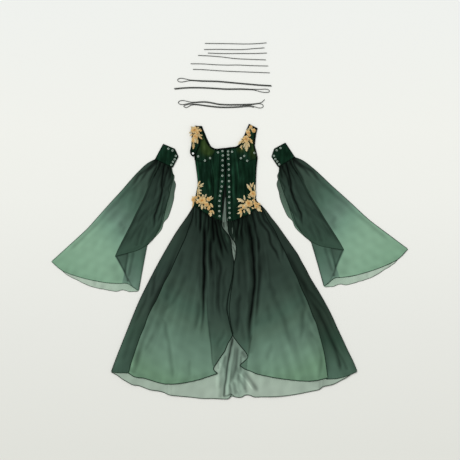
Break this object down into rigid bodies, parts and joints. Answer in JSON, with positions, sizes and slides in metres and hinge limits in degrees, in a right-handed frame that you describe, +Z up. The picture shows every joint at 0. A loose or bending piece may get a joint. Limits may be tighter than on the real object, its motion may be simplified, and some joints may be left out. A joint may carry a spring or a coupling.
{
  "type": "medieval costume dress",
  "caption": "Floor-length laced velvet bodice dress with a split chiffon overskirt over a pale underskirt, laid out flat with its bell sleeves and laces.",
  "frame": {"origin": "on the surface that the dress lies on, below the middle of the dress and its sleeves without the loose laces", "axes": "+X across the dress towards the sleeve on the viewer's right, +Y from the hem towards the shoulders, +Z up off the surface"},
  "size_m": [1.9194, 1.9255, 0.0182],
  "materials": {
    "velvet": "deep green velvet, matte pile",
    "cup": "olive green velvet",
    "overskirt": "chiffon, dark green at the waist to grey green at the hem",
    "overskirt_dark": "dark green chiffon",
    "underskirt": "pale sage chiffon",
    "sleeve": "sheer chiffon, dark green at the band to mint at the point",
    "sleeve_under": "sheer pale mint chiffon",
    "petal": "sheer dark green chiffon",
    "applique": "gold and cream embroidered lace",
    "eyelet": "satin",
    "lace": "dark green braided cord"
  },
  "bodies": {
    "root": {"bodice_back": "velvet", "inner_panel": "underskirt", "centre_front_left": "velvet", "centre_front_right": "velvet", "side_front_left": "velvet", "side_front_right": "velvet", "placket_left": "velvet", "placket_right": "velvet", "cup_strap_left": "cup", "cup_strap_right": "cup", "shoulder_tab": "velvet", "eyelet_top_left": "eyelet", "eyelet_top_right": "eyelet", "eyelet_tab": "eyelet", "eyelet_cup_left_1": "eyelet", "eyelet_cup_left_2": "eyelet", "eyelet_cup_left_3": "eyelet", "eyelet_cup_right_1": "eyelet", "eyelet_cup_right_2": "eyelet", "eyelet_cup_right_3": "eyelet", "eyelet_cup_right_4": "eyelet", "overskirt_back": "overskirt_dark", "underskirt_back": "underskirt", "underskirt_front": "underskirt", "overskirt_side_left": "overskirt_dark", "overskirt_side_right": "overskirt_dark", "overskirt_front_left": "overskirt", "overskirt_front_right": "overskirt", "band_back_left": "velvet", "band_front_left": "velvet", "sleeve_under_left": "sleeve_under", "sleeve_main_left": "sleeve", "sleeve_petal_left": "petal", "band_back_right": "velvet", "band_front_right": "velvet", "sleeve_under_right": "sleeve_under", "sleeve_main_right": "sleeve", "sleeve_petal_right": "petal", "applique_shoulder_left": "applique", "applique_shoulder_right": "applique", "applique_hip_left": "applique", "applique_hip_right": "applique", "lace_short_1": "lace", "lace_short_2": "lace", "lace_short_3": "lace", "lace_short_4": "lace", "lace_short_5": "lace", "lace_short_6": "lace", "lace_folded_1": "lace", "lace_folded_2": "lace", "lace_long": "lace"}
  },
  "joints": []
}
